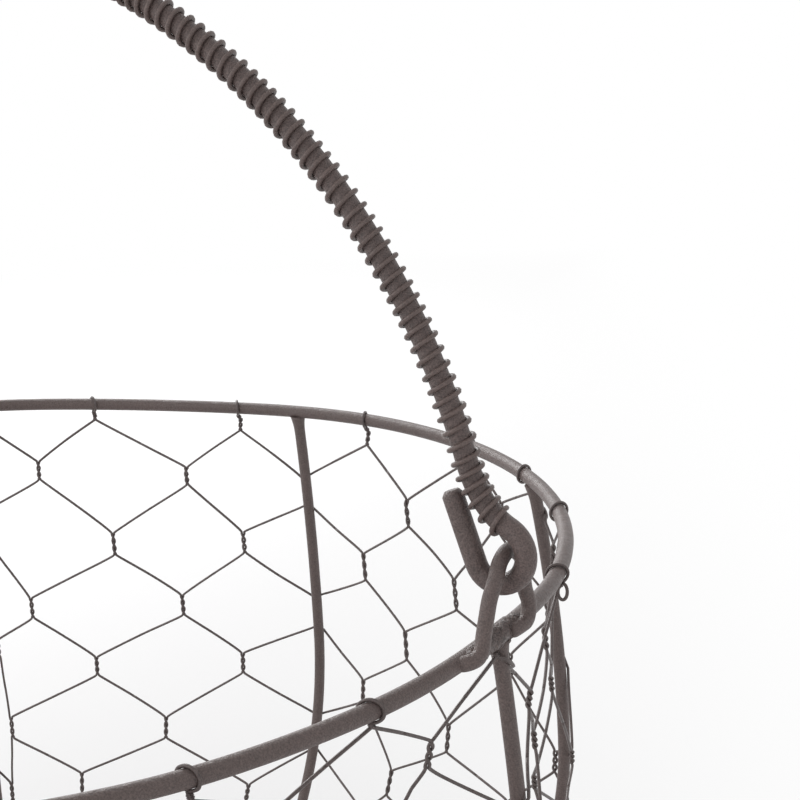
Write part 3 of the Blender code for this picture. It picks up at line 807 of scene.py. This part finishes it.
def base_strands(side):
    """The wall's twisted pairs laid flat over the bottom, each place outside the edge circle drawn
    in to it along its own radius. Wires that lie wholly outside are left out."""
    width = AROUND / len(TIE_TURNS)
    pitch = WALL_LENGTH / last_row
    row, column = [part.ravel() for part in np.meshgrid(np.arange(-6, 7), np.arange(-5, 6))]
    here = np.column_stack([width * (column + row % 2 / 2), pitch * row, 0.0 * row])
    here[:, :2] += np.random.default_rng(seed=9).normal(0.0, NET_SCATTER, (len(here), 2))
    slope = np.array([side * width / 2, pitch, 0.0])
    twist = np.array([0.0, PAIR_LENGTH, 0.0])
    pair = wound(here - twist / 2, here + twist / 2, side, 4 * PAIR_HALF_TURNS + 1)
    share = np.linspace(0.0, 1.0, 7)
    first = curves(here - slope / 2, (slope - twist) / 2, pair[:, 0], twist / 2, share[:-1])
    final = curves(pair[:, -1], twist / 2, here + slope / 2, (slope - twist) / 2, share[1:])
    centre = np.concatenate([first, pair, final], axis=1)
    reach = np.linalg.norm(centre[..., :2], axis=2)
    kept = (reach < BASE_NET_RADIUS - BASE_NET_MARGIN).any(axis=1)
    centre[..., :2] *= (BASE_NET_RADIUS / np.maximum(reach, BASE_NET_RADIUS))[..., None]
    centre[..., 2] += BASE_NET_HEIGHT
    return tube(centre[kept], (0, 0, 1), NET_WIRE / 2, sides=6)


rim = circle(BASE_NET_RADIUS, BASE_NET_HEIGHT, count=240)
edge = tube(rim, (0, 0, 1), NET_WIRE / 2, sides=6, closed=True)
wires = [base_strands(1), base_strands(-1), np.concatenate([edge, edge[:1]])[None]]
bottom_netting = add_piece("netting_over_bottom", wires, net_coat, "basket")
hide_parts("base_netting")


# STUDIO
# A white table top under soft white light from all round, brightest low on the left and
# behind. The floor keeps the basket's shadow and fades to white away from it and on the right.
FLOOR_REACH = 30
TABLE_WHITE = (0.865, 0.865, 0.87, 1.0)
TABLE_ROUGHNESS = 0.9
TABLE_SPECULAR = 0.1
AWAY_FADE = (0.40, 1.45)            # metres from the middle between which the floor turns white
ASIDE_WAY = (0.862, 0.506, 0.0)     # the way to the right, where it turns white sooner
ASIDE_FADE = (-0.04, 0.34)          # and between which metres along that
SOFT_WHITE = (1.0, 0.995, 0.99, 1.0)
BRIGHT_WAY = (-0.62, 0.10, -0.78)   # where the light from all round is brightest
BRIGHTNESS = (0.52, 1.05)           # its least and most
LAMP_AIM = (0, 0, 0.15)


def measured(tree, operation, vector, other=(0.0, 0.0, 0.0)):
    """Socket of a number that a new vector maths node works out from one or two vectors."""
    node = tree.nodes.new("ShaderNodeVectorMath")
    node.operation = operation
    tree.links.new(vector, node.inputs[0])
    node.inputs[1].default_value = other
    return node.outputs["Value"]


def view_ray(tree):
    """Socket that is 1 for the camera's own rays and those mirrored or let through, and 0 for light."""
    ray = tree.nodes.new("ShaderNodeLightPath").outputs
    mirrored = maths(tree, "MAXIMUM", ray["Is Camera Ray"], ray["Is Glossy Ray"])
    return maths(tree, "MAXIMUM", mirrored, ray["Is Transmission Ray"])


def mixed(tree, share, first, second, output):
    """Sends the first surface, turned into the second by a share, to the tree's output."""
    mix = tree.nodes.new("ShaderNodeMixShader")
    for value, socket in zip((share, first, second), mix.inputs):
        tree.links.new(value, socket)
    tree.links.new(mix.outputs["Shader"], tree.nodes[output].inputs["Surface"])


corners = [(x * FLOOR_REACH, y * FLOOR_REACH, 0) for x, y in ((-1, -1), (1, -1), (1, 1), (-1, 1))]
floor_mesh = bpy.data.meshes.new("floor")
floor_mesh.from_pydata(corners, [], [(0, 1, 2, 3)])
floor = bpy.data.objects.new("floor", floor_mesh)
bpy.context.scene.collection.objects.link(floor)

table = bpy.data.materials.new("white_table")
table.use_nodes = True
tree = table.node_tree
paint = tree.nodes["Principled BSDF"]
paint.inputs["Base Color"].default_value = TABLE_WHITE
paint.inputs["Roughness"].default_value = TABLE_ROUGHNESS
paint.inputs["Specular IOR Level"].default_value = TABLE_SPECULAR
white = tree.nodes.new("ShaderNodeEmission")
white.inputs["Strength"].default_value = 1.0
place = tree.nodes.new("ShaderNodeTexCoord").outputs["Object"]
away = spread(tree, measured(tree, "LENGTH", place), AWAY_FADE)
aside = spread(tree, measured(tree, "DOT_PRODUCT", place, ASIDE_WAY), ASIDE_FADE, easing="SMOOTHSTEP")
fade = maths(tree, "MULTIPLY", maths(tree, "MAXIMUM", away, aside), view_ray(tree))
mixed(tree, fade, paint.outputs["BSDF"], white.outputs["Emission"], "Material Output")
floor_mesh.materials.append(table)

scene = bpy.context.scene
world = bpy.data.worlds.new("white_surround")
scene.world = world
world.use_nodes = True
tree = world.node_tree
seen_white = tree.nodes["Background"]
seen_white.inputs["Color"].default_value = (1.0, 1.0, 1.0, 1.0)
seen_white.inputs["Strength"].default_value = 1.0
soft = tree.nodes.new("ShaderNodeBackground")
soft.inputs["Color"].default_value = SOFT_WHITE
sky = tree.nodes.new("ShaderNodeTexCoord").outputs["Generated"]
glow = spread(tree, measured(tree, "DOT_PRODUCT", sky, BRIGHT_WAY), (-1.0, 1.0), BRIGHTNESS)
tree.links.new(glow, soft.inputs["Strength"])
mixed(tree, view_ray(tree), soft.outputs["Background"], seen_white.outputs["Background"], "World Output")


def add_softbox(name, place, size, power):
    """A square area lamp that looks from its place to the point that both lamps are aimed at."""
    light = bpy.data.lights.new(name, "AREA")
    light.size = size
    light.energy = power
    lamp = bpy.data.objects.new(name, light)
    ahead = np.subtract(LAMP_AIM, place)
    flat = math.hypot(ahead[0], ahead[1])
    lamp.location = place
    lamp.rotation_euler = (math.atan2(flat, -ahead[2]), 0.0, math.atan2(-ahead[0], ahead[1]))
    scene.collection.objects.link(lamp)


add_softbox("softbox_back_left", place=(-1.0, 0.7, 0.8), size=0.9, power=11.0)
add_softbox("softbox_left", place=(-0.9, -1.1, 0.7), size=0.9, power=5.0)

camera = bpy.data.cameras.new("camera")
camera.lens = CAMERA_LENS
camera.sensor_width = CAMERA_WIDTH
view = bpy.data.objects.new("camera", camera)
view.location = CAMERA_PLACE
view.rotation_euler = CAMERA_TURNS
scene.collection.objects.link(view)
scene.camera = view
scene.view_settings.view_transform = "Standard"
